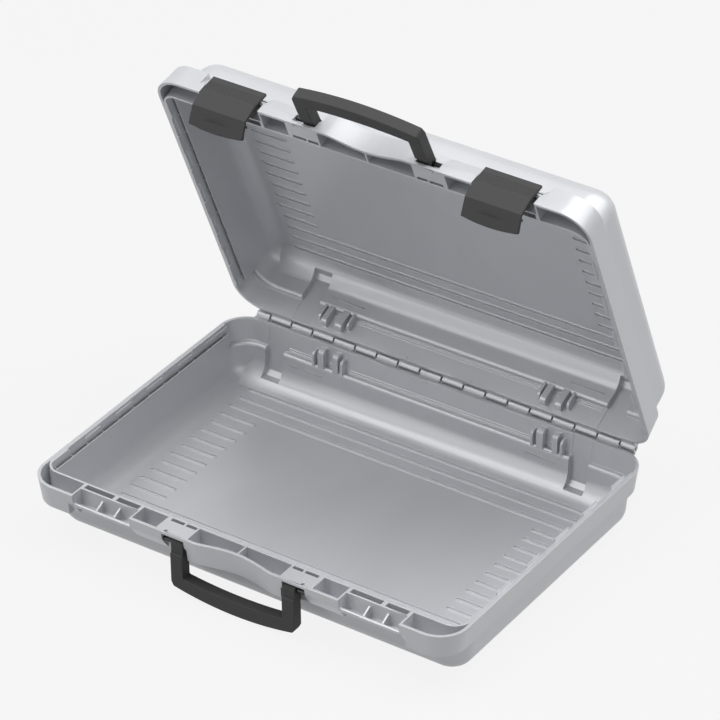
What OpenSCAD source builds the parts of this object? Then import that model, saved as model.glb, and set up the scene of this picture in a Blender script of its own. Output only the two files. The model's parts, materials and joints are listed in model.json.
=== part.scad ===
// Plastic carrying case, standing open.
// Two shells from one mould are hinged along the back, with a folding handle in each
// and two snap latches on the lid.
// Millimetres. +X runs to the right, +Y to the hinge and +Z up.
// The origin is the centre of the flat underside of the lower shell.

/* [Case] */
// Width of the case over the rim
case_w = 416; // [408:1:440]
// Depth of the case over the rim, front to back
case_d = 302; // [290:1:340]
// Height of one shell, underside to rim
shell_h = 56.5; // [55:0.5:70]
// Corner radius of the rim, seen from above
corner_r = 26; // [25:0.5:30]
// Angle at which the lid stands open
open_angle = 68; // [45:1:90]

/* [Rim band] */
// Height of the raised band under the rim
band_h = 22; // [21:0.5:26]
// Wall of the band
band_wall = 2.8; // [2.2:0.1:3.4]
// How far the band leans in over its height
band_draft = 3; // [1:0.1:3.2]
// Thickness of the shelf that joins the band to the tub
shelf_t = 2; // [1.8:0.1:3]
// Depth below the rim of the slope's top edge
slope_top = 9.5; // [9:0.5:12]
// How far the band slopes in at its lower edge, along the front
slope_in = 10; // [6:0.5:12]
// Distance of the slope's ends from the sides of the case
slope_end = 43; // [41:1:46]

/* [Tub] */
// Inset of the tub from the rim at the sides
side_inset = 6.6; // [6:0.1:9]
// Inset of the tub from the rim at the back
back_inset = 8; // [6:0.5:12]
// Inset of the tub from the rim at the front
front_inset = 25; // [24:0.5:30]
// Wall of the tub
wall = 2.2; // [1.8:0.1:2.8]
// Thickness of the floor
floor_t = 3.2; // [2.8:0.1:4]
// Corner radius of the tub, seen from above
tub_corner_r = 22; // [21:0.5:26]
// How far the tub's walls lean in
tub_draft = 1.2; // [0:0.1:2]
// Radius of the outer edge round the underside
bottom_r = 18; // [12:0.5:19]
// Radius of the roll between the floor and the back wall, inside
roll_r = 26; // [20:0.5:28]

/* [Inner wall] */
// Distance of the inner front wall from the rim's front
front_wall_at = 20; // [19:0.5:20.5]
// Thickness of the inner front wall
front_wall_t = 2; // [1.6:0.1:2.4]
// Corner radius of the inner front wall
liner_r = 13; // [11:0.5:15]
// Thickness of the inner side walls
side_wall_t = 1.2; // [1:0.1:1.6]
// How far the inner side walls stop below the rim
side_wall_drop = 7.5; // [6:0.5:9]
// Distance of the side walls' back ends from the hinge side of the rim
side_wall_end = 25; // [24:0.5:40]
// Width of the slots beside the inner side walls
slot_w = 1.8; // [1.4:0.1:2.2]
// Pitch of the small ribs that bridge these slots
side_rib_pitch = 21.5; // [20:0.5:24]
// Thickness of the ribs in the front pockets
rib_t = 1.6; // [1.2:0.1:2]
// Distance of the first locating tab from the rim's front
tab_first = 54; // [50:0.5:60]
// Thickness of a locating tab
tab_t = 1.2; // [1:0.1:1.6]
// How far the locating tabs stand above the rim
tab_up = 1.8; // [1:0.1:2]

/* [Floor grooves] */
// Distance between grooves
groove_pitch = 14.3; // [12:0.1:20]
// Width of a groove over its lips
groove_w = 4.8; // [4:0.1:5.4]
// Depth of a groove
groove_depth = 0.9; // [0.4:0.1:1.4]
// Thickness of the raised lip round a groove
lip_t = 0.8; // [0.6:0.1:1]
// Height of the lip above the floor
lip_h = 0.7; // [0.4:0.1:1]
// Distance of the grooves' outer ends from the side walls
groove_margin = 21.2; // [20:0.1:30]
// Length of the short grooves beside the flat panel
groove_l = 38.5; // [25:0.5:50]
// Number of long grooves in front of the flat panel and behind it
long_grooves = 3; // [1:1:4]
// Distance of the first groove from the tub's front wall
groove_first = 29.2; // [22:0.1:40]
// Distance of the last groove from the tub's back wall, at least
groove_last = 20; // [18:0.5:30]

/* [Hinge] */
// Distance of the hinge axis behind the rim
hinge_out = 6; // [5:0.1:8]
// Outer radius of a knuckle
knuckle_r = 3.4; // [3:0.1:3.8]
// Length of a knuckle with its share of the gap
knuckle_pitch = 22; // [18:0.5:30]
// Distance of the hinge's ends from the sides of the case
hinge_end = 18; // [14:1:24]
// Gap between two knuckles
knuckle_gap = 1.5; // [0.4:0.1:1.8]
// Radius of the hinge pin
hinge_pin_r = 1.3; // [1:0.05:1.6]
// Gap between the two rims when the case is shut
rim_gap = 0.3; // [0.2:0.1:0.6]

/* [Back columns] */
// Width of a hollow column on the back of the tub
column_w = 21; // [14:0.2:24]
// Distance of the left column's middle from the left side of the case
column_left = 45; // [42:0.5:48]
// Distance of the right column's middle from the right side of the case
column_right = 63.5; // [52:0.5:70]
// Depth of the columns' lower ends below the rim
column_bottom = 49; // [40:0.5:50]
// Wall at the sides of a column
column_wall = 1.3; // [1:0.1:2]

/* [Handles] */
// Distance between the outer sides of a handle's two legs
handle_w = 121.4; // [116:0.2:124]
// Width of a leg
leg_w = 12; // [9:0.5:13]
// Thickness of a handle, front to back
handle_t = 10.4; // [8:0.1:10.6]
// Distance from the pivot to the grip's corners
leg_drop = 39.8; // [36:0.1:42]
// Distance from the pivot to the middle of the grip's lower edge
grip_drop = 46.4; // [42:0.1:46.6]
// Height of the grip at its ends
grip_end_h = 10; // [8:0.5:14]
// Height of the grip at its middle
grip_mid_h = 13.5; // [10:0.5:16]
// Radius of a leg's hub
hub_r = 4.4; // [3.8:0.1:4.6]
// How far the leg's front steps out below the hub
leg_step = 1.5; // [0:0.1:1.6]
// Distance of the pivot behind the rim's front
pivot_in = 4.6; // [4.4:0.1:5.2]
// Depth of the pivot below the rim
pivot_down = 9; // [8.6:0.1:10]
// Radius of a handle pin
handle_pin_r = 2; // [1.5:0.1:2.4]
// Swing of the lid's handle from folded to raised
handle_swing = 93; // [60:1:93]
// Thickness of the plate over a handle's socket
plate_t = 3; // [2.4:0.1:3.4]
// Width of a socket
socket_w = 21.8; // [20:0.2:22]
// Radius of the small hole in the plate
plate_hole_r = 1.6; // [1:0.1:2]
// Depth of the inward bow of the wall between the legs
bow = 6.2; // [3:0.1:6.5]

/* [Latches] */
// Distance of a latch's middle from the side of the case
latch_side = 77; // [75:0.5:79]
// Width of a latch
latch_w = 52; // [44:0.5:53]
// Thickness of a latch
latch_t = 2.4; // [2:0.1:2.8]
// Width of the recess that a latch lies in
recess_w = 57.5; // [56:0.5:58]
// Depth of the recess, front to back
recess_d = 13; // [11:0.5:13.4]
// Depth of the sill in the recess below the rim
sill_down = 15; // [14.8:0.1:16]
// Radius of the bar in the recess
bar_r = 1.8; // [1.4:0.1:1.9]
// Distance of the bar behind the rim's front
bar_in = 3.4; // [3.2:0.1:4]
// Depth of the bar below the rim
bar_down = 10.5; // [10:0.1:10.6]
// Number of grip grooves across a latch
latch_grooves = 5; // [0:1:6]
// Depth of the thumb scoop at the latch's free edge
scoop_depth = 2.4; // [1:0.1:2.6]
// Width of the thumb scoop at the free edge
scoop_w = 42; // [20:1:44]
// How far the free edge bows out in its middle
edge_bow = 2.2; // [0:0.1:3]

/* [Fits] */
// Gap between a leg and the sides of its socket, and other loose parts
loose = 0.5; // [0.4:0.1:0.8]
// Radial gap round a pin or bar that something turns on
turn_gap = 0.05; // [0.02:0.01:0.08]

/* [Hidden] */
$fn = 64;
over = 1;                       // how far a cut runs past the face that it opens
bite = 0.3;                     // how far two joined pieces of one moulding run into each other
shell_colour = [0.68, 0.69, 0.70];
black = [0.13, 0.13, 0.13];
steel = [0.75, 0.75, 0.76];

front_y = -(case_d + front_inset - back_inset) / 2;
back_y = front_y + case_d;
rim_mid_y = (front_y + back_y) / 2;
rim_z = shell_h;
hinge_y = back_y + hinge_out;
hinge_z = rim_z + rim_gap / 2;
band_z = rim_z - band_h;
shelf_z = band_z + shelf_t;
latch_at = case_w / 2 - latch_side;

tub_w = case_w - 2 * side_inset;
tub_d = case_d - front_inset - back_inset;
inner_x = tub_w / 2 - wall;     // inner face of the side walls
inner_front = front_inset + wall;
inner_back = case_d - back_inset - wall;
liner_front = front_wall_at + front_wall_t;
wall_end = case_d - side_wall_end;          // back ends of the inner side walls
slot_in = inner_x + side_wall_t;            // inner side of a side slot
slot_out = slot_in + slot_w;                // outer side of a side slot
liner_x = case_w / 2 - band_wall - front_wall_t;    // where the inner front wall's corners reach
tab_l = side_rib_pitch - 2 * loose;
tab_last = wall_end - tab_l - 2 * loose;
tab_room = slot_out + tab_t + rim_gap;      // outer side of the rebates for the other shell's tabs
side_rib_t = 1;

latch_zone = latch_at + recess_w / 2;       // outer side of a recess
latch_inner = latch_at - recess_w / 2;      // inner side of a recess
leg_in = handle_w / 2 - leg_w;
socket_in = leg_in - loose;
socket_out = socket_in + socket_w;
socket_d = pivot_in + handle_t - hub_r - leg_step + loose;
guard_half = socket_in - 3;                 // half width of the long pocket
slope_inner = socket_in - 2;                // where the front's slope starts
pocket_in = socket_out + 6.5;
pocket_out = latch_inner - rib_t;

function flip(list) = [for (i = [len(list) - 1:-1:0]) list[i]];

// A point of the front's section: d behind the rim's front, h below the rim
function sec(d, h) = [front_y + d, rim_z - h];

// How far the band has leaned in at a depth h below the rim
function lean(h) = band_draft * h / band_h;

// Runs a flat shape in Y and Z along X, between two places
module along_x(x0, x1) {
    translate([x0, 0, 0]) rotate([90, 0, 90]) linear_extrude(x1 - x0) children();
}

// Does the same at the left and at the right
module both_sides() {
    children();
    mirror([1, 0, 0]) children();
}

// A block with rounded corners whose edge follows a section.
// The section's points are [inset, height], from the lowest to the highest.
module swept_block(w, d, r, section) {
    low = section[0][1];
    high = section[len(section) - 1][1];
    along_x(-w / 2 + r, w / 2 - r) polygon(concat(
        [for (p = section) [d / 2 - p[0], p[1]]],
        [for (p = flip(section)) [-d / 2 + p[0], p[1]]]));
    rotate([0, 0, 90]) along_x(-d / 2 + r, d / 2 - r) polygon(concat(
        [for (p = section) [w / 2 - p[0], p[1]]],
        [for (p = flip(section)) [-w / 2 + p[0], p[1]]]));
    for (i = [0:3]) {
        sx = (i == 0 || i == 3) ? 1 : -1;
        sy = (i < 2) ? 1 : -1;
        translate([sx * (w / 2 - r), sy * (d / 2 - r), 0]) rotate([0, 0, 90 * i])
            rotate_extrude(angle = 90)
                polygon(concat([[0, low]], [for (p = section) [r - p[0], p[1]]], [[0, high]]));
    }
}

// Section of a wall that stands on a rounded bottom edge
function tub_section(r, draft, low, high) = concat(
    [for (a = [0:15:90]) [draft + r * (1 - sin(a)), low + r * (1 - cos(a))]],
    [[0, high]]);

// A flat rectangle with round corners, from x0, y0 to x1, y1
module round_rect(x0, y0, x1, y1, r) {
    translate([x0 + r, y0]) square([x1 - x0 - 2 * r, y1 - y0]);
    translate([x0, y0 + r]) square([x1 - x0, y1 - y0 - 2 * r]);
    for (x = [x0 + r, x1 - r]) for (y = [y0 + r, y1 - r]) translate([x, y]) circle(r);
}

// The space inside the band, from a height low upwards
module band_space(low) {
    translate([0, rim_mid_y, 0]) swept_block(case_w - 2 * band_wall, case_d - 2 * band_wall,
        corner_r - band_wall, [[lean(rim_z - low), low], [lean(-over), rim_z + over]]);
}

// Plan of a strip across the case, from d0 to d1 behind the rim's front
module strip_plan(d0, d1) {
    translate([-case_w, front_y + d0]) square([2 * case_w, d1 - d0]);
}

// Plan of the space inside the inner front wall, grown by g
module liner_plan(g) {
    round_rect(-liner_x - g, front_y + liner_front - g,
        liner_x + g, back_y + corner_r, liner_r + g);
}

// Plan of both side rails and side walls, with the ribs between them
module side_walls_plan() {
    both_sides() {
        translate([slot_out, front_y]) square([case_w, wall_end]);
        translate([inner_x, front_y]) square([side_wall_t, wall_end]);
        for (d = [liner_front + 11.5:side_rib_pitch:wall_end - 4])
            translate([inner_x, front_y + d - side_rib_t / 2]) square([slot_w + 2 * side_wall_t, side_rib_t]);
    }
}

// Plan of the locating tabs on the side rails, t thick.
// The right side starts one step later, so the tabs of two shells pass each other.
module tabs_plan(t) {
    for (d = [tab_first:2 * side_rib_pitch:tab_last])
        translate([-slot_out - t, front_y + d]) square([t, tab_l]);
    for (d = [tab_first + side_rib_pitch:2 * side_rib_pitch:tab_last])
        translate([slot_out, front_y + d]) square([t, tab_l]);
}

// The hollow of the shell above the shelf
module upper_hollow() {
    intersection() {
        band_space(shelf_z);
        union() {
            translate([0, 0, shelf_z]) linear_extrude(rim_z - shelf_z + over) {
                difference() {
                    intersection() {
                        liner_plan(0);
                        strip_plan(0, wall_end);
                    }
                    side_walls_plan();
                }
                strip_plan(wall_end, case_d);
            }
            translate([0, 0, rim_z - side_wall_drop]) linear_extrude(side_wall_drop + over)
                intersection() {
                    liner_plan(0);
                    translate([-slot_out, front_y]) square([2 * slot_out, wall_end + over]);
                }
            translate([0, 0, rim_z - tab_up - loose]) linear_extrude(case_d) difference() {
                translate([-tab_room, front_y + tab_first - 2 * loose])
                    square([2 * tab_room, wall_end + over + 2 * loose - tab_first]);
                tabs_plan(case_w);
            }
        }
    }
}

// The rounded upper edge of the tub at its back, where the shelf is open
module ledge_round() {
    r = 2.4;
    intersection() {
        translate([0, front_y + (inner_front + inner_back) / 2, 0])
            swept_block(2 * inner_x, inner_back - inner_front, tub_corner_r - wall, concat(
                [for (a = [0:15:90]) [-r * (1 - cos(a)), shelf_z - r * (1 - sin(a))]],
                [[-r, shelf_z + bite]]));
        translate([0, 0, shelf_z - 2 * r]) linear_extrude(3 * r) strip_plan(wall_end, case_d);
    }
}

// The hollow of the shell below the shelf, with a roll along its back
module lower_hollow() {
    r = bottom_r - wall;
    d = inner_back - inner_front;
    difference() {
        translate([0, front_y + (inner_front + inner_back) / 2, 0])
            swept_block(2 * inner_x, d, tub_corner_r - wall,
                tub_section(r, tub_draft, floor_t, shelf_z));
        along_x(-inner_x - over, inner_x + over) difference() {
            translate([front_y + inner_back - roll_r, floor_t - over])
                square([roll_r + over, roll_r + over]);
            translate([front_y + inner_back - roll_r, floor_t + roll_r]) circle(roll_r);
        }
    }
}

// Pockets in the two front corners
module corner_pockets() {
    difference() {
        intersection() {
            band_space(shelf_z);
            translate([0, 0, shelf_z]) linear_extrude(rim_z - shelf_z + over) difference() {
                both_sides() translate([latch_zone + rib_t, front_y])
                    square([case_w, liner_front + liner_r - 4]);
                liner_plan(front_wall_t);
            }
        }
        front_slope(band_wall);
    }
}

// The slope under the front of the band, with t left on it
module front_slope(t) {
    both_sides() along_x(slope_inner, case_w / 2 - slope_end + t) polygon([
        sec(-over, slope_top - t), sec(lean(slope_top) + t, slope_top - t),
        sec(slope_in + t, band_h), sec(slope_in + t, band_h + over), sec(-over, band_h + over)]);
}

// The inward bow of the wall between the handle's legs, with t left on it.
// It leans with the band.
module guard_bow(t) {
    half = socket_in - 10;
    steps = 24;
    low = band_z - over;
    leaning = [[1, 0, 0, 0], [0, 1, -band_draft / band_h, front_y + lean(rim_z)], [0, 0, 1, 0], [0, 0, 0, 1]];
    arch = [for (i = [1:steps - 1]) let (u = 2 * i / steps - 1) [u * half, t + bow * pow(1 - u * u, 1.5)]];
    multmatrix(leaning) translate([0, 0, low]) linear_extrude(rim_z + over - low)
        polygon(concat([[-half, -over], [-half, t]], arch, [[half, t], [half, -over]]));
}

// A straight pocket, open at the rim
module pocket(x0, x1, d0, d1) {
    translate([x0, front_y + d0, shelf_z]) cube([x1 - x0, d1 - d0, rim_z - shelf_z + over]);
}

// Pockets between the front of the band and the inner front wall
module front_pockets() {
    difference() {
        intersection() {
            band_space(shelf_z);
            union() {
                both_sides() pocket(pocket_in, pocket_out, 0, front_wall_at);
                pocket(rib_t / 2, guard_half, 0, front_wall_at);
                pocket(-guard_half, -rib_t / 2, 0, front_wall_at);
            }
        }
        front_slope(band_wall);
        guard_bow(band_wall);
    }
    // Narrow slots in the tops of the bosses beside the handle
    both_sides() pocket(socket_in + 11, socket_out + 2, front_wall_at - 3.5, front_wall_at);
    both_sides() pocket(socket_in - 1, socket_in + 9, front_wall_at - 3.5, front_wall_at);
}

// The space that one latch needs in the front
module latch_recess() {
    x0 = latch_inner;
    x1 = latch_zone;
    along_x(x0, x1) polygon([sec(-over, -over), sec(recess_d, -over), sec(recess_d, sill_down),
        sec(5.8, sill_down), sec(14.5, band_h), sec(14.5, band_h + over),
        sec(-over, band_h + over)]);
}

// Slots behind a recess. The divider is off the middle.
module recess_slots(divider) {
    d0 = recess_d + rib_t;
    translate([0, 0, rim_z - sill_down - 2]) linear_extrude(sill_down + 2 + over) {
        translate([latch_inner + rib_t, front_y + d0])
            square([divider - 2 - latch_inner - rib_t, front_wall_at - d0]);
        translate([divider + 2, front_y + d0])
            square([latch_zone - rib_t - divider - 2, front_wall_at - d0]);
    }
}

// The bar across a recess and the ribs that carry it
module latch_bar(ribs) {
    along_x(latch_inner - bite, latch_zone + bite) translate(sec(bar_in, bar_down)) circle(bar_r);
    for (x = ribs) along_x(x - rib_t / 2, x + rib_t / 2) polygon([
        sec(bar_in, bar_down - 1.4), sec(recess_d + bite, 4.5), sec(recess_d + bite, sill_down + bite),
        sec(5.8 + bite, sill_down + bite), sec(bar_in, bar_down + 1.4)]);
}

// The socket of one leg, with the bore for its pin and the hole in its plate
module handle_socket() {
    translate([socket_in, front_y - over, band_z - over])
        cube([socket_w, socket_d + over, band_h + over - plate_t]);
    translate([guard_half - over, front_y + pivot_in, rim_z - pivot_down]) rotate([0, 90, 0])
        cylinder(r = handle_pin_r + turn_gap, h = socket_out + 3 - guard_half);
    translate([socket_out - 3, front_y + 3.3, rim_z - plate_t - over])
        cylinder(r = plate_hole_r, h = plate_t + 2 * over);
}

// Places of the floor grooves, as distances from the tub's front wall
groove_count = floor((inner_back - inner_front - groove_first - groove_last) / groove_pitch) + 1;
function groove_y(i) = front_y + inner_front + groove_first + i * groove_pitch;

// Plan of a groove from x0 to x1 with half its width r, pointed at x0 or at both ends
module groove_plan(x0, x1, y, r, both) {
    tip = both ? 1.6 * r : 0.5 * r;
    blunt = both ? 0 : 0.5 * r;
    polygon([[x0, y], [x0 + 1.6 * r, y + r], [x1 - tip, y + r], [x1, y + blunt],
        [x1, y - blunt], [x1 - tip, y - r], [x0 + 1.6 * r, y - r]]);
}

// Plans of all grooves over their lips, grown by grow
module groove_plans(grow) {
    x1 = inner_x - groove_margin;
    r = groove_w / 2 + grow;
    for (i = [0:groove_count - 1]) {
        if (i < long_grooves || i >= groove_count - long_grooves)
            groove_plan(-x1 - 2 * grow, x1 + 2 * grow, groove_y(i), r, true);
        else both_sides()
            groove_plan(-x1 - 2 * grow, groove_l - x1 + grow, groove_y(i), r, false);
    }
}

module floor_grooves() {
    translate([0, 0, floor_t - groove_depth]) linear_extrude(groove_depth + lip_h + over)
        groove_plans(-lip_t);
}

module floor_lips() {
    translate([0, 0, floor_t - bite]) linear_extrude(lip_h + bite) groove_plans(0);
}

// Hollow columns on the back of the tub, flush with the band
column_places = [-case_w / 2 + column_left, case_w / 2 - column_right];

// A point at a depth h below the rim, t inside the band's leaning back face
function back_point(t, h) = [back_y - t - lean(h), rim_z - h];

module column_blocks() {
    foot = column_bottom - 5;
    for (x = column_places) along_x(x - column_w / 2, x + column_w / 2) polygon([
        [back_y - back_inset - bottom_r, rim_z - band_wall], back_point(bite, band_wall),
        back_point(0, band_h), back_point(0, foot), [back_point(5, foot)[0], rim_z - column_bottom],
        [back_y - back_inset - bottom_r, rim_z - column_bottom]]);
}

module column_hollows() {
    half = column_w / 2 - column_wall;
    front = front_y + inner_back - roll_r / 2;
    foot = column_bottom - wall;
    t = band_wall - 0.6;        // the wall behind a hollow is a little thinner than the band's
    for (x = column_places) along_x(x - half, x + half) polygon([
        [front, rim_z + over], back_point(t, 0) + [0, over], back_point(t, foot - 4),
        [back_point(t + 3.5, foot)[0], rim_z - foot], [front, rim_z - foot]]);
}

// Small marks on the inside of the back wall. The clip ribs and the short lines stand beside
// the columns: a rib is given by the distances of its two sides from the middle of its column
// and by the depth of its top, a short line by those of its ends. A pad is given by its sides
// and its depth.
clip_ribs = [[[39.6, 42, 7], [45.5, 51.6, 3.5], [60.8, 66.3, 3.5], [68.3, 71, 7]],
    [[-47, -44.7, 7], [-41.3, -34.7, 3.5], [-25.7, -20.5, 3.5], [-18.2, -15.7, 7]]];
clip_out = 0.5;         // how far the clip ribs stand out before the tub's back wall
clip_low = 21.5;        // depth of their lower ends below the rim
fine_lines = [16.3, 18.5];
fine = 0.8;
fine_end = 2;           // distance of the fine lines' ends from the columns
short_lines = [[16.2, 49.4], [-51, -17.5]];
short_line_down = 29;
pads = [[-52.6, -32.5, 1], [-29.6, -10.6, 3.2], [13.4, 32.8, 1], [35.3, 54, 3.2]];
pad_t = 0.5;

module clip_rib(top) {
    front = front_y + inner_back - clip_out;
    polygon([[front, rim_z - clip_low], [front, rim_z - top - 4], [front + 1.2, rim_z - top - 1.4],
        [front + 3.6, rim_z - top], back_point(band_wall - bite, top),
        back_point(band_wall - bite, clip_low)]);
}

module back_ribs() {
    for (i = [0:1]) {
        for (c = clip_ribs[i])
            along_x(column_places[i] + c[0], column_places[i] + c[1]) clip_rib(c[2]);
    }
    reach = column_w / 2 + fine_end;
    for (h = fine_lines) along_x(column_places[0] + reach, column_places[1] - reach) polygon([
        back_point(band_wall - bite, h - fine / 2), back_point(band_wall + fine, h),
        back_point(band_wall - bite, h + fine / 2)]);
    drafted = tub_draft * (short_line_down - band_h + shelf_t) / (shelf_z - floor_t - bottom_r + wall);
    for (i = [0:1])
        along_x(column_places[i] + short_lines[i][0], column_places[i] + short_lines[i][1])
            translate([front_y + inner_back - drafted, rim_z - short_line_down])
                circle(fine / 2, $fn = 12);
    for (p = pads) along_x(p[0], p[1]) polygon([
        back_point(band_wall - bite, 0), back_point(band_wall + pad_t, 0),
        back_point(band_wall + pad_t, p[2]), back_point(band_wall - bite, p[2])]);
}

// Tabs on the side rails that enter the other shell's rebates
module side_tabs() {
    translate([0, 0, rim_z - bite]) linear_extrude(tab_up + bite) tabs_plan(tab_t);
}

// Knuckles: every second one belongs to the lower shell, the rest to the lid
hinge_half = case_w / 2 - hinge_end;
inner_knuckles = 2 * floor((hinge_half - 8) / knuckle_pitch);
function knuckle_x(i) = (i == 0) ? -hinge_half
    : (i == inner_knuckles + 2) ? hinge_half
    : (i - 1 - inner_knuckles / 2) * knuckle_pitch;

module knuckles() {
    for (i = [0:2:inner_knuckles]) {
        x0 = knuckle_x(i) + (i == 0 ? 0 : knuckle_gap / 2);
        x1 = knuckle_x(i + 1) - knuckle_gap / 2;
        difference() {
            along_x(x0, x1) union() {
                translate([hinge_y, hinge_z]) circle(knuckle_r);
                translate([back_y - 1, hinge_z - knuckle_r]) square([hinge_out + 1, knuckle_r - rim_gap / 2]);
            }
            translate([x0 - over, hinge_y, hinge_z]) rotate([0, 90, 0])
                cylinder(r = hinge_pin_r + turn_gap, h = x1 - x0 + 2 * over);
        }
    }
}

// A strip under the knuckles that closes the view through the hinge from above
module hinge_strip() {
    along_x(-hinge_half, hinge_half) translate([back_y - band_wall / 2, hinge_z - knuckle_r - 1.8])
        square([hinge_out + band_wall / 2 - rim_gap, 1.4]);
}

// One shell, standing on its underside with its rim up
module shell() {
    difference() {
        union() {
            translate([0, rim_mid_y, 0]) swept_block(case_w, case_d, corner_r,
                [[band_draft, band_z], [0, rim_z]]);
            swept_block(tub_w, tub_d, tub_corner_r,
                tub_section(bottom_r, tub_draft, 0, band_z + bite));
            column_blocks();
        }
        upper_hollow();
        difference() {
            lower_hollow();
            floor_lips();
        }
        ledge_round();
        column_hollows();
        corner_pockets();
        front_slope(0);
        guard_bow(0);
        front_pockets();
        both_sides() latch_recess();
        recess_slots(latch_at + 4.5);
        mirror([1, 0, 0]) recess_slots(latch_at - 3.2);
        both_sides() handle_socket();
        floor_grooves();
    }
    latch_bar([latch_at - 7, latch_at + 11]);
    mirror([1, 0, 0]) latch_bar([latch_at + 7, latch_at - 10.6]);
    back_ribs();
    side_tabs();
    hinge_strip();
    knuckles();
}

// Turns what stands on the lower shell into its place on the shut lid
module upside_down() {
    translate([0, 0, 2 * hinge_z]) rotate([0, 180, 0]) children();
}

// Opens what is drawn in its place on the shut lid
module opened() {
    translate([0, hinge_y, hinge_z]) rotate([-open_angle, 0, 0])
        translate([0, -hinge_y, -hinge_z]) children();
}

// One handle, hanging from its pivot at the origin
module handle() {
    back = handle_t - hub_r - leg_step;
    front = hub_r + leg_step;
    half = handle_w / 2;
    outer_sag = grip_drop - leg_drop;
    outer_r = (half * half + outer_sag * outer_sag) / (2 * outer_sag);
    inner_end = leg_drop - grip_end_h;
    inner_sag = max(grip_drop - grip_mid_h - inner_end, 0.5);
    inner_r = (leg_in * leg_in + inner_sag * inner_sag) / (2 * inner_sag);
    chamfer = 4;
    difference() {
        union() {
            both_sides() rotate([0, 90, 0]) translate([0, 0, leg_in]) cylinder(r = hub_r, h = leg_w);
            both_sides() translate([leg_in, -hub_r, -2 * hub_r]) cube([leg_w, hub_r + back, 2 * hub_r]);
            translate([0, back, 0]) rotate([90, 0, 0]) linear_extrude(front + back) difference() {
                intersection() {
                    polygon([[-half, -hub_r - 4], [-half, -leg_drop + chamfer],
                        [-half + chamfer, -leg_drop - chamfer], [-half + chamfer, -2 * grip_drop],
                        [half - chamfer, -2 * grip_drop], [half - chamfer, -leg_drop - chamfer],
                        [half, -leg_drop + chamfer], [half, -hub_r - 4]]);
                    translate([0, outer_r - grip_drop]) circle(outer_r, $fn = 240);
                }
                intersection() {
                    translate([-leg_in, -grip_drop]) square([2 * leg_in, grip_drop]);
                    translate([0, inner_r - inner_end - inner_sag]) circle(inner_r, $fn = 240);
                }
            }
        }
        both_sides() rotate([0, 90, 0]) translate([0, 0, leg_in - over])
            cylinder(r = handle_pin_r + turn_gap, h = leg_w + 2 * over);
    }
}

// The pin of the leg on the right, at the pivot
module handle_pin() {
    rotate([0, 90, 0]) translate([0, 0, guard_half + loose])
        cylinder(r = handle_pin_r, h = socket_out + 1.8 - guard_half - loose);
}

// Places what is drawn at a handle's pivot
module at_base_pivot() {
    translate([0, front_y + pivot_in, rim_z - pivot_down]) children();
}

// The same on the lid. Its handle folds the other way up.
module at_lid_pivot(swing) {
    opened() upside_down() at_base_pivot() rotate([-swing, 0, 0]) children();
}

// A strip of thickness t behind an open line of points
function left_of(a, b) = let (u = (b - a) / norm(b - a)) [-u[1], u[0]];
function mitre(list, i, t) = let (
    n0 = left_of(list[max(i - 1, 0)], list[max(i, 1)]),
    n1 = left_of(list[min(i, len(list) - 2)], list[min(i + 1, len(list) - 1)]),
    n = (n0 + n1) / norm(n0 + n1)) list[i] + n * t / (n * n0);
function strip(list, t) = concat(list, [for (i = [len(list) - 1:-1:0]) mitre(list, i, t)]);

// Outer face of a latch, as distances behind the rim's front and above the parting line
latch_face = [[0, 18.8], [-3, 2.5], [-0.8, -13.5], [12, -26.3]];
leaf_l = norm(latch_face[3] - latch_face[2]);
leaf_more = 1.8;                // how much thicker the leaf is at its free edge

// Lays what is drawn flat, with Y towards the free edge, on a latch's leaf
module on_leaf() {
    translate([0, latch_face[2][0], latch_face[2][1]]) rotate([-45, 0, 0]) children();
}

// The thumb scoop, an arch that deepens towards the free edge
module latch_scoop() {
    start = 3;
    r = pow(scoop_w / 2, 2) / (2 * scoop_depth);
    tilt = atan(scoop_depth / (leaf_l - start));
    on_leaf() translate([0, start, -r / cos(tilt)]) rotate([tilt - 90, 0, 0])
        translate([0, 0, -over]) cylinder(r = r, h = leaf_l + 4 * over, $fn = 300);
}

// What lies beyond the bowed free edge
module beyond_edge() {
    steps = 12;
    half = latch_w / 2 + over;
    on_leaf() translate([0, 0, -2 * latch_t]) linear_extrude(6 * latch_t) polygon(concat(
        [for (i = [-steps:steps]) let (x = i * half / steps)
            [x, leaf_l - edge_bow * pow(2 * x / latch_w, 2)]],
        [[half, leaf_l + 4 * latch_t], [-half, leaf_l + 4 * latch_t]]));
}

// One latch in its shut place, its middle at X = 0.
// It clips on the lid's bar and hooks under the lower shell's bar.
module latch() {
    bar = [bar_in, bar_down + rim_gap / 2];
    clip_r = 3.3;
    hook_r = 2 * bar_down + rim_gap + bar_r + 4 * turn_gap;
    translate([0, front_y, hinge_z]) difference() {
        union() {
            along_x(-latch_w / 2, latch_w / 2) {
                polygon(strip(latch_face, latch_t));
                polygon([mitre(latch_face, 2, latch_t), mitre(latch_face, 2, latch_t / 2),
                    mitre(latch_face, 3, latch_t / 2), mitre(latch_face, 3, latch_t + leaf_more)]);
            }
            for (x = [-19.25, 0, 19.25]) {
                half = (x == 0) ? 4.5 : 5.75;
                along_x(x - half, x + half) difference() {
                    union() {
                        translate(bar) circle(clip_r);
                        translate([-0.4, bar[1] - 2.4]) square([2.4, 4.8]);
                    }
                    translate(bar) circle(bar_r + turn_gap);
                    polygon([bar, bar + [6, 4], bar + [6, -4]]);
                }
                along_x(x - half, x + half) intersection() {
                    difference() {
                        translate(bar) circle(hook_r + 1.7, $fn = 180);
                        translate(bar) circle(hook_r, $fn = 180);
                    }
                    translate([0.4, -20]) square([8, 12]);
                }
            }
        }
        for (i = [0:latch_grooves - 1]) {
            z = 4 + i * 2.1;
            along_x(-latch_w / 2 - over, latch_w / 2 + over)
                translate([-3.1 + (z - 2.5) * 3 / 16.3, z]) circle(0.45, $fn = 24);
        }
        latch_scoop();
        beyond_edge();
    }
}

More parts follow.
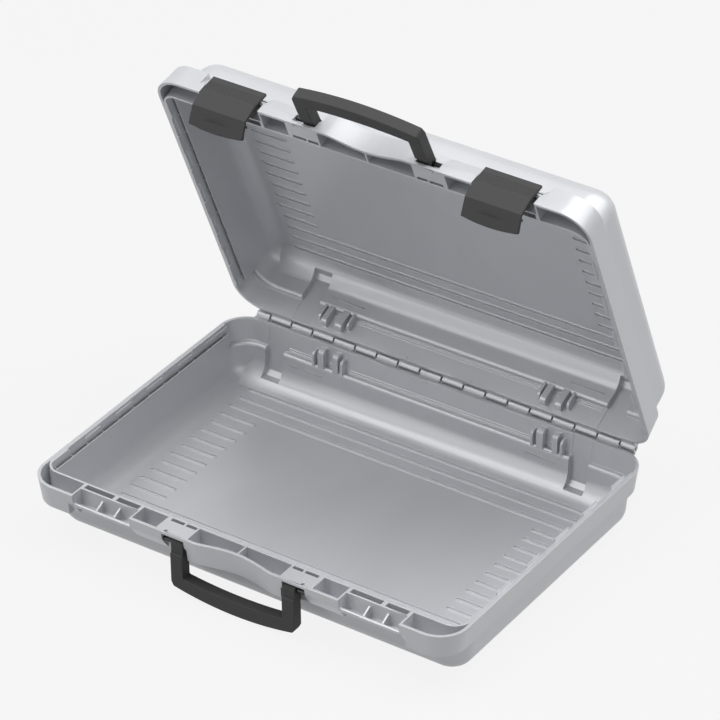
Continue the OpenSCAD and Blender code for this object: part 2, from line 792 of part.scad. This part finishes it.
module base_shell() { color(shell_colour) shell(); }

module lid_shell() { color(shell_colour) opened() upside_down() shell(); }

module hinge_pin() {
    color(steel) translate([-hinge_half + 2, hinge_y, hinge_z]) rotate([0, 90, 0])
        cylinder(r = hinge_pin_r, h = 2 * hinge_half - 4);
}

module base_handle() { color(black) at_base_pivot() handle(); }

module lid_handle() { color(black) at_lid_pivot(handle_swing) handle(); }

module base_handle_pin_left() { color(steel) at_base_pivot() mirror([1, 0, 0]) handle_pin(); }

module base_handle_pin_right() { color(steel) at_base_pivot() handle_pin(); }

module lid_handle_pin_left() { color(steel) at_lid_pivot(0) handle_pin(); }

module lid_handle_pin_right() { color(steel) at_lid_pivot(0) mirror([1, 0, 0]) handle_pin(); }

module latch_left() { color(black) opened() translate([-latch_at, 0, 0]) latch(); }

module latch_right() { color(black) opened() translate([latch_at, 0, 0]) latch(); }

base_shell();
lid_shell();
hinge_pin();
base_handle();
lid_handle();
base_handle_pin_left();
base_handle_pin_right();
lid_handle_pin_left();
lid_handle_pin_right();
latch_left();
latch_right();
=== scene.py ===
"""Looks of the plastic carrying case: rounded mouldings, finishes and white studio."""

import json
import math

import bpy
from mathutils import Matrix, Vector


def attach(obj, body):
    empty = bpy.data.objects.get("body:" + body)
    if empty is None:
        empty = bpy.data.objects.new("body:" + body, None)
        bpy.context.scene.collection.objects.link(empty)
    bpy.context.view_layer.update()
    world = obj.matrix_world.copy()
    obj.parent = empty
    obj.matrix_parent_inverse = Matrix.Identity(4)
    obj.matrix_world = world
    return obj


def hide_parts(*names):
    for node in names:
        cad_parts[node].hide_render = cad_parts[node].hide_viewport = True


bl_info = {
    "name": "Plastic Carrying Case",
    "version": (1, 0, 0),
    "blender": (4, 5, 0),
    "location": "3D View > Sidebar > Case",
    "description": "Finishes a hinged plastic carrying case around its packed solids",
    "category": "Object",
}

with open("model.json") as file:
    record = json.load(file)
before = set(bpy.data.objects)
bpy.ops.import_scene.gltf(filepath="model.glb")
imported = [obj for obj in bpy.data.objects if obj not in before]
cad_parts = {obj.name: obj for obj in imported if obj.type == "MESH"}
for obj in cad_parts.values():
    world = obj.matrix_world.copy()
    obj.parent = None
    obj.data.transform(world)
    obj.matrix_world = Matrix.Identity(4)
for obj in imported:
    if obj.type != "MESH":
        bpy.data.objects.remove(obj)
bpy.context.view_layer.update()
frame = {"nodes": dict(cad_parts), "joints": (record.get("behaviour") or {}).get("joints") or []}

MM = 0.001
WHITE = (1, 1, 1, 1)

# The hinge line, and how far the lid stands open at rest
LID_JOINT = next(j for j in frame["joints"] if j["name"] == "lid_hinge")
HINGE = Vector(LID_JOINT["pos_m"])
OPEN_ANGLE = -math.radians(LID_JOINT["range_deg"][0])

# Both shells come from one mould. These take a point of the lower shell to the same
# point of the lid, first shut and then open.
ON_SHUT_LID = Matrix.Translation((0, 0, 2 * HINGE.z)) @ Matrix.Rotation(math.pi, 4, "Y")
LID_OPENED = (
    Matrix.Translation(HINGE)
    @ Matrix.Rotation(-OPEN_ANGLE, 4, "X")
    @ Matrix.Translation(-HINGE)
)
ON_LID = LID_OPENED @ ON_SHUT_LID

# Packed corners nearer than this are joined, and facets flatter than this are one face
WELD_DISTANCE = 0.02 * MM
FLAT_ANGLE = math.radians(1.0)
# In radians, where an edge is steep enough to be rounded, and a latch's to stay crisp
EDGE_ANGLE = 0.5
LATCH_EDGE_ANGLE = 0.1
# How much the large faces count in the shading
FACE_AREA_WEIGHT = 60

# A number below one draws the plastic's clouds out, here from front to back and upwards
CLOUD_STRETCH = (1.0, 0.45, 0.8)
# Most of a noise mask lies between these two
MASK_LOW, MASK_HIGH = 0.3, 0.7

# In radians, how far the camera stands round the case and over it, and how far it tilts.
# Then the point that it looks at.
CAMERA_AZIMUTH = 0.60282
CAMERA_ELEVATION = 0.58291
CAMERA_ROLL = -0.0148
CAMERA_AIM = Vector((-0.0236574, 0.059816, 0.11665))
SENSOR_WIDTH = 36
CLIP_NEAR, CLIP_FAR = 0.1, 100

FLOOR_WIDTH = 60.0
# The share of the lamps' light that the paper throws back onto the case
PAPER_GREY = 0.38

# Each soft box: its name, its direction from the case, its width and its share of power
SOFT_BOXES = (
    ("Overhead", (0.1, 0.1, 1), 2.4, 1.0),
    ("High front", (-0.35, -0.4, 0.85), 2.0, 0.6),
    ("Front", (-0.45, -0.75, 0.48), 2.0, 0.06),
    ("Low front", (-0.47, -0.88, 0.1), 0.9, 0.12),
    ("Back", (0.5, 0.5, 0.7), 2.0, 0.5),
    ("Left", (-0.95, -0.1, 0.3), 1.8, 0.2),
    ("Right", (0.95, -0.1, 0.3), 1.8, 0.2),
)
# The middle of the case, which the soft boxes face
MIDDLE = Vector((0, 0, 0.1))


class CaseFinish(bpy.types.PropertyGroup):
    """Colours and roundings of the case."""

    shell_colour: bpy.props.FloatVectorProperty(
        name="Shell colour",
        description="Colour of the silver grey plastic",
        subtype="COLOR",
        size=3,
        min=0,
        max=1,
        default=(0.61, 0.622, 0.647),
    )
    black_colour: bpy.props.FloatVectorProperty(
        name="Handle and latch colour",
        description="Colour of the black plastic",
        subtype="COLOR",
        size=3,
        min=0,
        max=1,
        default=(0.014, 0.0133, 0.0136),
    )
    steel_colour: bpy.props.FloatVectorProperty(
        name="Pin colour",
        description="Colour of the blackened steel wire",
        subtype="COLOR",
        size=3,
        min=0,
        max=1,
        default=(0.045, 0.045, 0.047),
    )
    shell_round: bpy.props.FloatProperty(
        name="Shell edge radius",
        description="Rounding of the shells' moulded edges",
        unit="LENGTH",
        min=0,
        max=0.001,
        default=0.3 * MM,
    )
    handle_round: bpy.props.FloatProperty(
        name="Handle edge radius",
        description="Rounding of the handles' edges",
        unit="LENGTH",
        min=0,
        max=0.002,
        default=0.8 * MM,
    )
    latch_round: bpy.props.FloatProperty(
        name="Latch edge radius",
        description="Rounding of the latches' edges",
        unit="LENGTH",
        min=0,
        max=0.001,
        default=0.12 * MM,
    )
    pin_round: bpy.props.FloatProperty(
        name="Pin end radius",
        description="Rounding of the ends of the steel pins",
        unit="LENGTH",
        min=0,
        max=0.001,
        default=0.3 * MM,
    )


class StageSettings(bpy.types.PropertyGroup):
    """Camera, lamps and paper of the studio."""

    lens: bpy.props.FloatProperty(
        name="Lens",
        description="Focal length on a 36 mm sensor",
        unit="CAMERA",
        default=226.687,
    )
    distance: bpy.props.FloatProperty(
        name="Camera distance",
        description="Distance of the camera from the point it looks at",
        unit="LENGTH",
        default=3.74372,
    )
    lamp_power: bpy.props.FloatProperty(
        name="Overhead lamp",
        description="Power of the soft box overhead, which the other soft boxes follow",
        unit="POWER",
        default=58,
    )
    lamp_distance: bpy.props.FloatProperty(
        name="Lamp distance",
        description="Distance of the soft boxes from the case",
        unit="LENGTH",
        default=3.2,
    )
    sky_light: bpy.props.FloatProperty(
        name="Room light",
        description="Strength of the even room light",
        default=0.03,
    )
    paper_white: bpy.props.FloatProperty(
        name="Paper white",
        description="Share of plain white in what is seen of the paper",
        subtype="FACTOR",
        min=0,
        max=1,
        default=0.87,
    )


def new_group(name, inputs, outputs):
    """An empty node group with its two end nodes."""
    group = bpy.data.node_groups.new(name, "ShaderNodeTree")
    for label, kind, value in inputs:
        socket = group.interface.new_socket(label, in_out="INPUT", socket_type=kind)
        socket.default_value = value
    for label, kind in outputs:
        group.interface.new_socket(label, in_out="OUTPUT", socket_type=kind)
    return group, group.nodes.new("NodeGroupInput"), group.nodes.new("NodeGroupOutput")


def add(tree, kind, **values):
    """A node with its settings. A value whose name is a socket goes to that socket."""
    made = tree.nodes.new(kind)
    for key, value in values.items():
        if hasattr(made, key):
            setattr(made, key, value)
        else:
            made.inputs[key.replace("_", " ")].default_value = value
    return made


def maths(tree, operation, a, b, clamp=False):
    """Output of a Math node that is fed by sockets or numbers."""
    made = add(tree, "ShaderNodeMath", operation=operation, use_clamp=clamp)
    for i, value in enumerate((a, b)):
        if isinstance(value, (int, float)):
            made.inputs[i].default_value = value
        else:
            tree.links.new(value, made.inputs[i])
    return made.outputs[0]


def ramp(tree, mask, stops):
    """Turns a mask into colours, each stop being a place in the mask and its colour."""
    made = add(tree, "ShaderNodeValToRGB")
    elements = made.color_ramp.elements
    while len(elements) < len(stops):
        elements.new(0.5)
    for element, (position, colour) in zip(elements, stops):
        element.position = position
        element.color = (*colour, 1)
    tree.links.new(mask, made.inputs[0])
    return made.outputs[0]


def value_range(tree, mask, low, high):
    """Turns a mask into values from low to high."""
    made = add(
        tree,
        "ShaderNodeMapRange",
        From_Min=MASK_LOW,
        From_Max=MASK_HIGH,
        To_Min=low,
        To_Max=high,
    )
    tree.links.new(mask, made.inputs["Value"])
    return made.outputs[0]


def flow_marks_group():
    """Soft cloudy streaks of a mineral filled moulding, and its fine grain."""
    group, start, end = new_group(
        "Moulding flow",
        [
            ("Cloud Scale", "NodeSocketFloat", 9.0),
            ("Grain Scale", "NodeSocketFloat", 1500.0),
            ("Grain Depth", "NodeSocketFloat", 0.3),
        ],
        [
            ("Cloud", "NodeSocketFloat"),
            ("Grain", "NodeSocketFloat"),
            ("Height", "NodeSocketFloat"),
        ],
    )
    links = group.links
    place = add(group, "ShaderNodeTexCoord")
    stretch = add(group, "ShaderNodeMapping", Scale=CLOUD_STRETCH)
    links.new(place.outputs["Object"], stretch.inputs["Vector"])
    cloud = add(group, "ShaderNodeTexNoise", Detail=3.0, Roughness=0.55, Distortion=0.6)
    links.new(stretch.outputs[0], cloud.inputs["Vector"])
    links.new(start.outputs["Cloud Scale"], cloud.inputs["Scale"])
    grain = add(group, "ShaderNodeTexNoise", Detail=2.0, Roughness=0.6)
    links.new(place.outputs["Object"], grain.inputs["Vector"])
    links.new(start.outputs["Grain Scale"], grain.inputs["Scale"])
    depth = start.outputs["Grain Depth"]
    height = maths(group, "MULTIPLY", grain.outputs["Fac"], depth)
    links.new(cloud.outputs["Fac"], end.inputs["Cloud"])
    links.new(grain.outputs["Fac"], end.inputs["Grain"])
    links.new(height, end.inputs["Height"])
    return group


def scaled(colour, share):
    """A colour made darker or lighter."""
    return tuple(min(1.0, c * share) for c in colour)


def case_material(name, colour, flow, marks, tints, rough, sockets, bump=None):
    """A finish of the case.

    marks    values for the moulding flow group
    tints    places in the cloud, each with its share of the colour
    rough    the flow group's mask of roughness, and the lowest and highest roughness
    sockets  the shader's values that are the same all over
    bump     strength and distance of the grain, or none
    """
    colour = tuple(colour)
    made = bpy.data.materials.new(name)
    made.use_nodes = True
    made.diffuse_color = (*colour, 1)
    tree = made.node_tree
    shader = tree.nodes["Principled BSDF"]
    surface = add(tree, "ShaderNodeGroup", node_tree=flow, **marks)

    stops = [(position, scaled(colour, share)) for position, share in tints]
    tint = ramp(tree, surface.outputs["Cloud"], stops)
    tree.links.new(tint, shader.inputs["Base Color"])

    mask, low, high = rough
    roughness = value_range(tree, surface.outputs[mask], low, high)
    tree.links.new(roughness, shader.inputs["Roughness"])

    for socket, value in sockets.items():
        shader.inputs[socket].default_value = value
    if bump:
        strength, distance = bump
        grain = add(tree, "ShaderNodeBump", Strength=strength, Distance=distance)
        tree.links.new(surface.outputs["Height"], grain.inputs["Height"])
        tree.links.new(grain.outputs[0], shader.inputs["Normal"])


def make_materials():
    """The three materials of the case, which share one group of flow marks."""
    finish = bpy.context.scene.case_finish
    flow = flow_marks_group()
    # Satin plastic with a little metal pigment
    case_material(
        "silver_plastic",
        finish.shell_colour,
        flow,
        marks={"Cloud_Scale": 9.0, "Grain_Scale": 1400.0, "Grain_Depth": 0.35},
        tints=((0.3, 0.955), (0.55, 1.0), (0.75, 1.03)),
        rough=("Cloud", 0.36, 0.43),
        sockets={"Metallic": 0.3},
        bump=(0.12, 0.2 * MM),
    )
    # Black plastic with a fine spark eroded grain
    case_material(
        "black_plastic",
        finish.black_colour,
        flow,
        marks={"Cloud_Scale": 26.0, "Grain_Scale": 2600.0, "Grain_Depth": 0.8},
        tints=((0.3, 0.88), (0.7, 1.15)),
        rough=("Grain", 0.24, 0.30),
        sockets={"Specular IOR Level": 0.34},
        bump=(0.25, 0.1 * MM),
    )
    # Drawn wire, blackened
    case_material(
        "steel_wire",
        finish.steel_colour,
        flow,
        marks={"Cloud_Scale": 60.0, "Grain_Scale": 2000.0, "Grain_Depth": 0.3},
        tints=((0.3, 0.85), (0.7, 1.05)),
        rough=("Grain", 0.24, 0.36),
        sockets={"Metallic": 1.0},
    )


def material(name):
    """A material of the case. The first call makes them all."""
    if name not in bpy.data.materials:
        make_materials()
    return bpy.data.materials[name]


def dress(obj, finish):
    """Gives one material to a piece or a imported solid."""
    obj.data.materials.clear()
    obj.data.materials.append(finish)
    for face in obj.data.polygons:
        face.use_smooth = True
        face.material_index = 0


def soften(obj, radius, segments=2, crisp=False, whole=True):
    """Rounds the edges of a piece that came as packed facets.

    crisp  keeps the edges sharp that are marked so
    whole  makes flat facets one face, which would crease the shells' large floors
    """
    weld = obj.modifiers.new("Join facets", "WELD")
    weld.merge_threshold = WELD_DISTANCE
    if whole:
        flat = obj.modifiers.new("Whole faces", "DECIMATE")
        flat.decimate_type = "DISSOLVE"
        flat.angle_limit = FLAT_ANGLE
    edge = obj.modifiers.new("Round edges", "BEVEL")
    edge.width = radius
    edge.segments = segments
    edge.limit_method = "ANGLE"
    edge.angle_limit = EDGE_ANGLE
    edge.use_clamp_overlap = False
    edge.miter_outer = "MITER_ARC"
    shade = obj.modifiers.new("Shading", "WEIGHTED_NORMAL")
    shade.keep_sharp = crisp
    shade.weight = FACE_AREA_WEIGHT


class CASE_OT_shells(bpy.types.Operator):
    """Rounds the edges of the two shells and gives them their plastic"""

    bl_idname = "case.shells"
    bl_label = "Shells"

    def execute(self, context):
        moulding = frame["nodes"]["base_shell"].data
        for name, body, place in (
            ("base_shell", "base", Matrix.Identity(4)),
            ("lid_shell", "lid", ON_LID),
        ):
            mesh = moulding.copy()
            mesh.transform(place)
            skin = bpy.data.objects.new(name + "_skin", mesh)
            context.scene.collection.objects.link(skin)
            dress(skin, material("silver_plastic"))
            soften(skin, context.scene.case_finish.shell_round, whole=False)
            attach(skin, body)
            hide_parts(name)
        return {"FINISHED"}


class CASE_OT_handles(bpy.types.Operator):
    """Rounds the edges of the two handles and gives them their plastic"""

    bl_idname = "case.handles"
    bl_label = "Handles"

    def execute(self, context):
        for name in ("base_handle", "lid_handle"):
            handle = frame["nodes"][name]
            dress(handle, material("black_plastic"))
            soften(handle, context.scene.case_finish.handle_round, segments=3)
        return {"FINISHED"}


class CASE_OT_latches(bpy.types.Operator):
    """Rounds the edges of the two latches and gives them their plastic"""

    bl_idname = "case.latches"
    bl_label = "Latches"

    def execute(self, context):
        for name in ("latch_left", "latch_right"):
            latch = frame["nodes"][name]
            dress(latch, material("black_plastic"))
            latch.data.set_sharp_from_angle(angle=LATCH_EDGE_ANGLE)
            soften(latch, context.scene.case_finish.latch_round, crisp=True)
        return {"FINISHED"}


class CASE_OT_pins(bpy.types.Operator):
    """Rounds the ends of the hinge and handle pins and gives them their steel"""

    bl_idname = "case.pins"
    bl_label = "Pins"

    def execute(self, context):
        for name, node in frame["nodes"].items():
            if "pin" in name:
                dress(node, material("steel_wire"))
                soften(node, context.scene.case_finish.pin_round)
        return {"FINISHED"}


def white_where_seen(tree, lit, white, end, share):
    """Mixes plain white into what the camera, metal and glass see of a lit surface."""
    seen = add(tree, "ShaderNodeLightPath").outputs
    mask = maths(tree, "ADD", seen["Is Camera Ray"], seen["Is Glossy Ray"])
    mask = maths(tree, "ADD", mask, seen["Is Transmission Ray"], clamp=True)
    mask = maths(tree, "MULTIPLY", mask, share)
    mix = add(tree, "ShaderNodeMixShader")
    tree.links.new(mask, mix.inputs[0])
    tree.links.new(lit, mix.inputs[1])
    tree.links.new(white, mix.inputs[2])
    tree.links.new(mix.outputs[0], end)


def paper_floor(scene, settings):
    """A wide sheet of paper under the case, which keeps a faint shadow."""
    paper = bpy.data.materials.new("white_paper")
    paper.use_nodes = True
    tree = paper.node_tree
    shader = tree.nodes["Principled BSDF"]
    shader.inputs["Base Color"].default_value = (PAPER_GREY, PAPER_GREY, PAPER_GREY, 1)
    shader.inputs["Roughness"].default_value = 0.9
    shader.inputs["Specular IOR Level"].default_value = 0.1
    white = add(tree, "ShaderNodeEmission")
    end = tree.nodes["Material Output"].inputs["Surface"]
    share = settings.paper_white
    white_where_seen(tree, shader.outputs[0], white.outputs[0], end, share)

    mesh = bpy.data.meshes.new("floor")
    half = FLOOR_WIDTH / 2
    corners = [(-half, -half, 0), (half, -half, 0), (half, half, 0), (-half, half, 0)]
    mesh.from_pydata(corners, [], [(0, 1, 2, 3)])
    mesh.materials.append(paper)
    obj = bpy.data.objects.new("floor", mesh)
    scene.collection.objects.link(obj)


def room(scene, settings):
    """Faint even light from a room that is plain white where it is seen."""
    world = bpy.data.worlds.new("Room")
    scene.world = world
    world.use_nodes = True
    tree = world.node_tree
    lit = tree.nodes["Background"]
    lit.inputs["Color"].default_value = WHITE
    lit.inputs["Strength"].default_value = settings.sky_light
    white = add(tree, "ShaderNodeBackground", Color=WHITE)
    end = tree.nodes["World Output"].inputs["Surface"]
    white_where_seen(tree, lit.outputs[0], white.outputs[0], end, 1.0)


def soft_box(scene, name, place, width, power):
    """A square soft box that faces the middle of the case."""
    lamp = bpy.data.lights.new(name, "AREA")
    lamp.energy = power
    lamp.shape = "RECTANGLE"
    lamp.size = lamp.size_y = width
    obj = bpy.data.objects.new(name, lamp)
    obj.location = place
    obj.rotation_mode = "QUATERNION"
    obj.rotation_quaternion = (place - MIDDLE).to_track_quat("Z", "Y")
    scene.collection.objects.link(obj)


def aim_camera(scene, settings):
    """The camera, set round, above and away from the point it looks at."""
    azimuth, elevation, roll = CAMERA_AZIMUTH, CAMERA_ELEVATION, CAMERA_ROLL
    back = Vector(
        (
            math.sin(azimuth) * math.cos(elevation),
            -math.cos(azimuth) * math.cos(elevation),
            math.sin(elevation),
        )
    )
    level = Vector((math.cos(azimuth), math.sin(azimuth), 0))
    lift = back.cross(level)
    right = level * math.cos(roll) + lift * math.sin(roll)
    up = lift * math.cos(roll) - level * math.sin(roll)
    turned = Matrix((right, up, back)).transposed().to_4x4()

    lens = bpy.data.cameras.new("Camera")
    lens.lens = settings.lens
    lens.sensor_width = SENSOR_WIDTH
    lens.clip_start, lens.clip_end = CLIP_NEAR, CLIP_FAR
    camera = bpy.data.objects.new("Camera", lens)
    place = Matrix.Translation(CAMERA_AIM + back * settings.distance)
    camera.matrix_world = place @ turned
    scene.collection.objects.link(camera)
    scene.camera = camera


class CASE_OT_stage(bpy.types.Operator):
    """Adds the camera, the floor, the room and the lamps"""

    bl_idname = "case.stage"
    bl_label = "Studio"

    def execute(self, context):
        scene = context.scene
        settings = scene.case_stage
        scene.view_settings.view_transform = "Standard"
        aim_camera(scene, settings)
        paper_floor(scene, settings)
        room(scene, settings)
        for name, direction, width, share in SOFT_BOXES:
            place = MIDDLE + Vector(direction).normalized() * settings.lamp_distance
            soft_box(scene, name, place, width, settings.lamp_power * share)
        return {"FINISHED"}


class CASE_PT_panel(bpy.types.Panel):
    """Lists the settings of the case and the steps that finish it"""

    bl_idname = "CASE_PT_panel"
    bl_label = "Carrying case"
    bl_space_type = "VIEW_3D"
    bl_region_type = "UI"
    bl_category = "Case"

    def draw(self, context):
        for settings in (context.scene.case_finish, context.scene.case_stage):
            for name in settings.bl_rna.properties.keys():
                if name not in ("rna_type", "name"):
                    self.layout.prop(settings, name)
        for step in STEPS:
            self.layout.operator(step.bl_idname)


STEPS = (CASE_OT_shells, CASE_OT_handles, CASE_OT_latches, CASE_OT_pins, CASE_OT_stage)
CLASSES = (CaseFinish, StageSettings, *STEPS, CASE_PT_panel)


def register():
    """Registers the classes and hangs the settings on the scene."""
    for cls in CLASSES:
        bpy.utils.register_class(cls)
    bpy.types.Scene.case_finish = bpy.props.PointerProperty(type=CaseFinish)
    bpy.types.Scene.case_stage = bpy.props.PointerProperty(type=StageSettings)


def unregister():
    """Takes the settings and the classes off again."""
    del bpy.types.Scene.case_stage
    del bpy.types.Scene.case_finish
    for cls in reversed(CLASSES):
        bpy.utils.unregister_class(cls)


def main():
    """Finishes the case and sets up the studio."""
    register()
    bpy.ops.case.shells()
    bpy.ops.case.handles()
    bpy.ops.case.latches()
    bpy.ops.case.pins()
    bpy.ops.case.stage()


if __name__ == "__main__":
    main()
